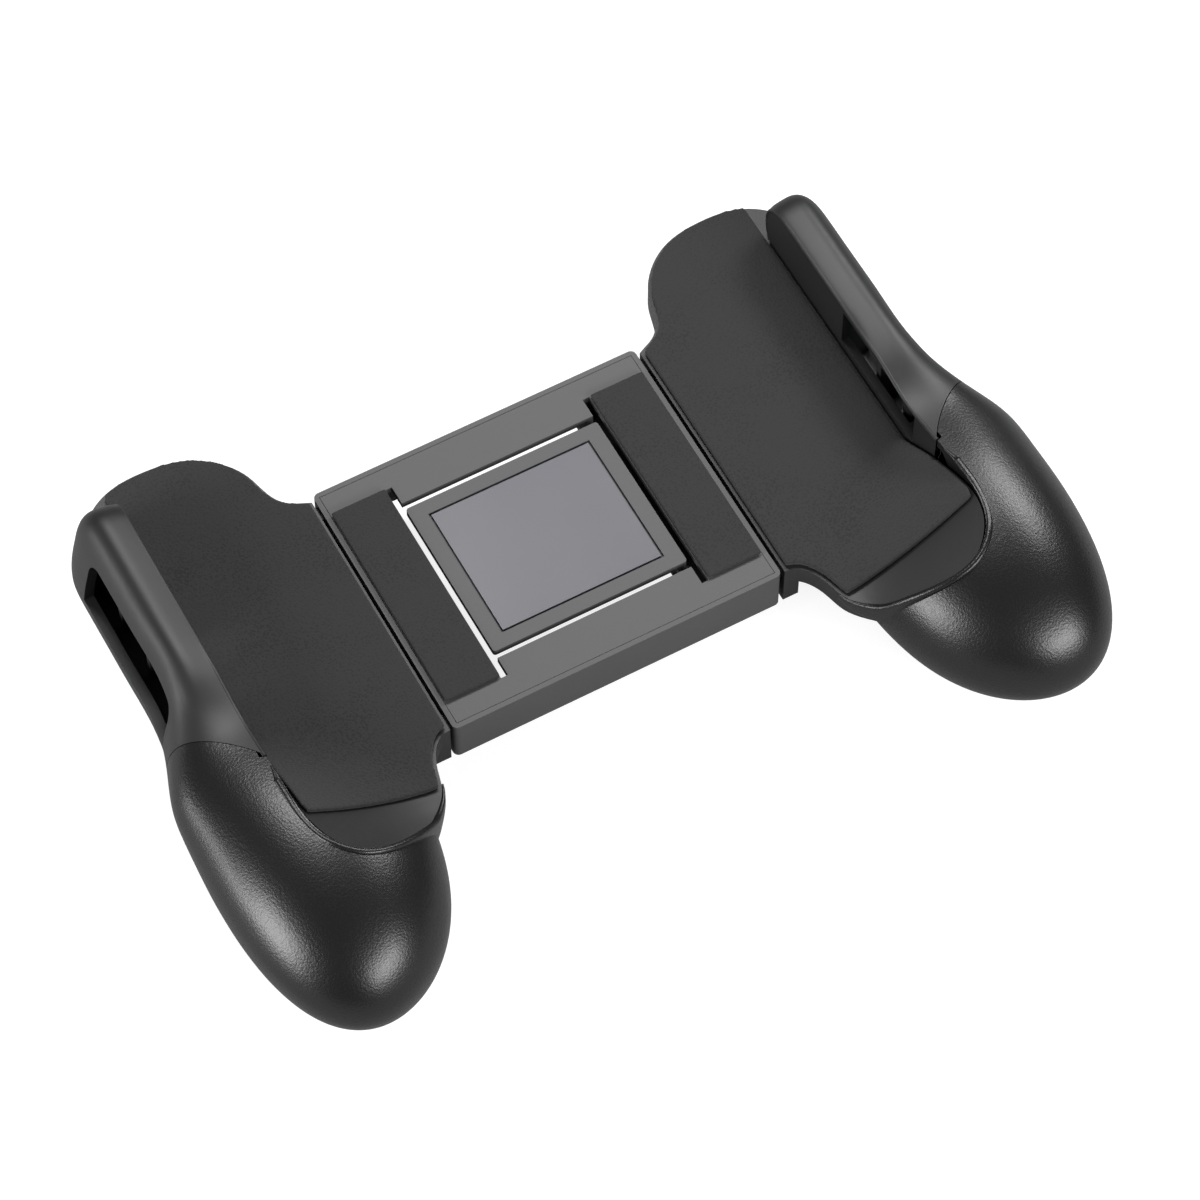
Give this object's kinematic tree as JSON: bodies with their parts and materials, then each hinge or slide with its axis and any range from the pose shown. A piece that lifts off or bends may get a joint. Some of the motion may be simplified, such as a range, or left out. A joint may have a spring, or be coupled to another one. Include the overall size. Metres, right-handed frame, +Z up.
{
  "type": "telescopic phone game grip",
  "caption": "Handheld grip for playing on a phone: padded wings with side rails and moulded handles slide out of a flat centre body to clamp the phone between them.",
  "frame": {"origin": "under the middle of the part's outline, level with the handles' undersides", "axes": "+X to the right grip, +Y away from the player to the rounded ends of the wings, +Z up through the face that holds the phone"},
  "size_m": [0.1776, 0.1226, 0.0323],
  "materials": {
    "centre_plastic": "moulded matte dark grey plastic",
    "inlay_plastic": "smooth bluish grey plastic plate",
    "frame_plastic": "satin black plastic",
    "rail_plastic": "smooth satin charcoal plastic",
    "handle_plastic": "fine leather-grained black plastic",
    "foam": "matte charcoal foam sheet",
    "screw_steel": "zinc-plated steel",
    "pin_steel": "plain steel pin",
    "spring_steel": "spring wire"
  },
  "bodies": {
    "centre": {"centre_shell": "centre_plastic", "centre_cover": "centre_plastic", "kickstand_pin": "pin_steel", "centre_screws": "screw_steel", "foam_strip_left": "foam", "foam_strip_right": "foam", "spring_left": "spring_steel", "spring_right": "spring_steel"},
    "flap": {"kickstand_flap": "centre_plastic", "flap_inlay": "inlay_plastic"},
    "right_grip": {"wing_frame_right": "frame_plastic", "rail_cover_right": "rail_plastic", "handle_upper_right": "handle_plastic", "handle_lower_right": "handle_plastic", "wing_pad_right": "foam", "handle_screws_right": "screw_steel", "rail_screws_right": "screw_steel"},
    "left_grip": {"wing_frame_left": "frame_plastic", "rail_cover_left": "rail_plastic", "handle_upper_left": "handle_plastic", "handle_lower_left": "handle_plastic", "wing_pad_left": "foam", "handle_screws_left": "screw_steel", "rail_screws_left": "screw_steel"}
  },
  "joints": [
    {"name": "right_grip_slide", "type": "slide", "parent": "centre", "child": "right_grip", "axis": [1, 0, 0], "range_m": [0, 0.016], "stiffness_N_per_m": 120, "springref_m": -0.01, "deforming": ["spring_right"]},
    {"name": "left_grip_slide", "type": "slide", "parent": "centre", "child": "left_grip", "axis": [-1, 0, 0], "range_m": [0, 0.016], "stiffness_N_per_m": 120, "springref_m": -0.01, "deforming": ["spring_left"]},
    {"name": "kickstand_hinge", "type": "hinge", "parent": "centre", "child": "flap", "pos_m": [0.019, 0.01257, 0.01334], "axis": [0, -1, 0], "range_deg": [0, 100]}
  ]
}
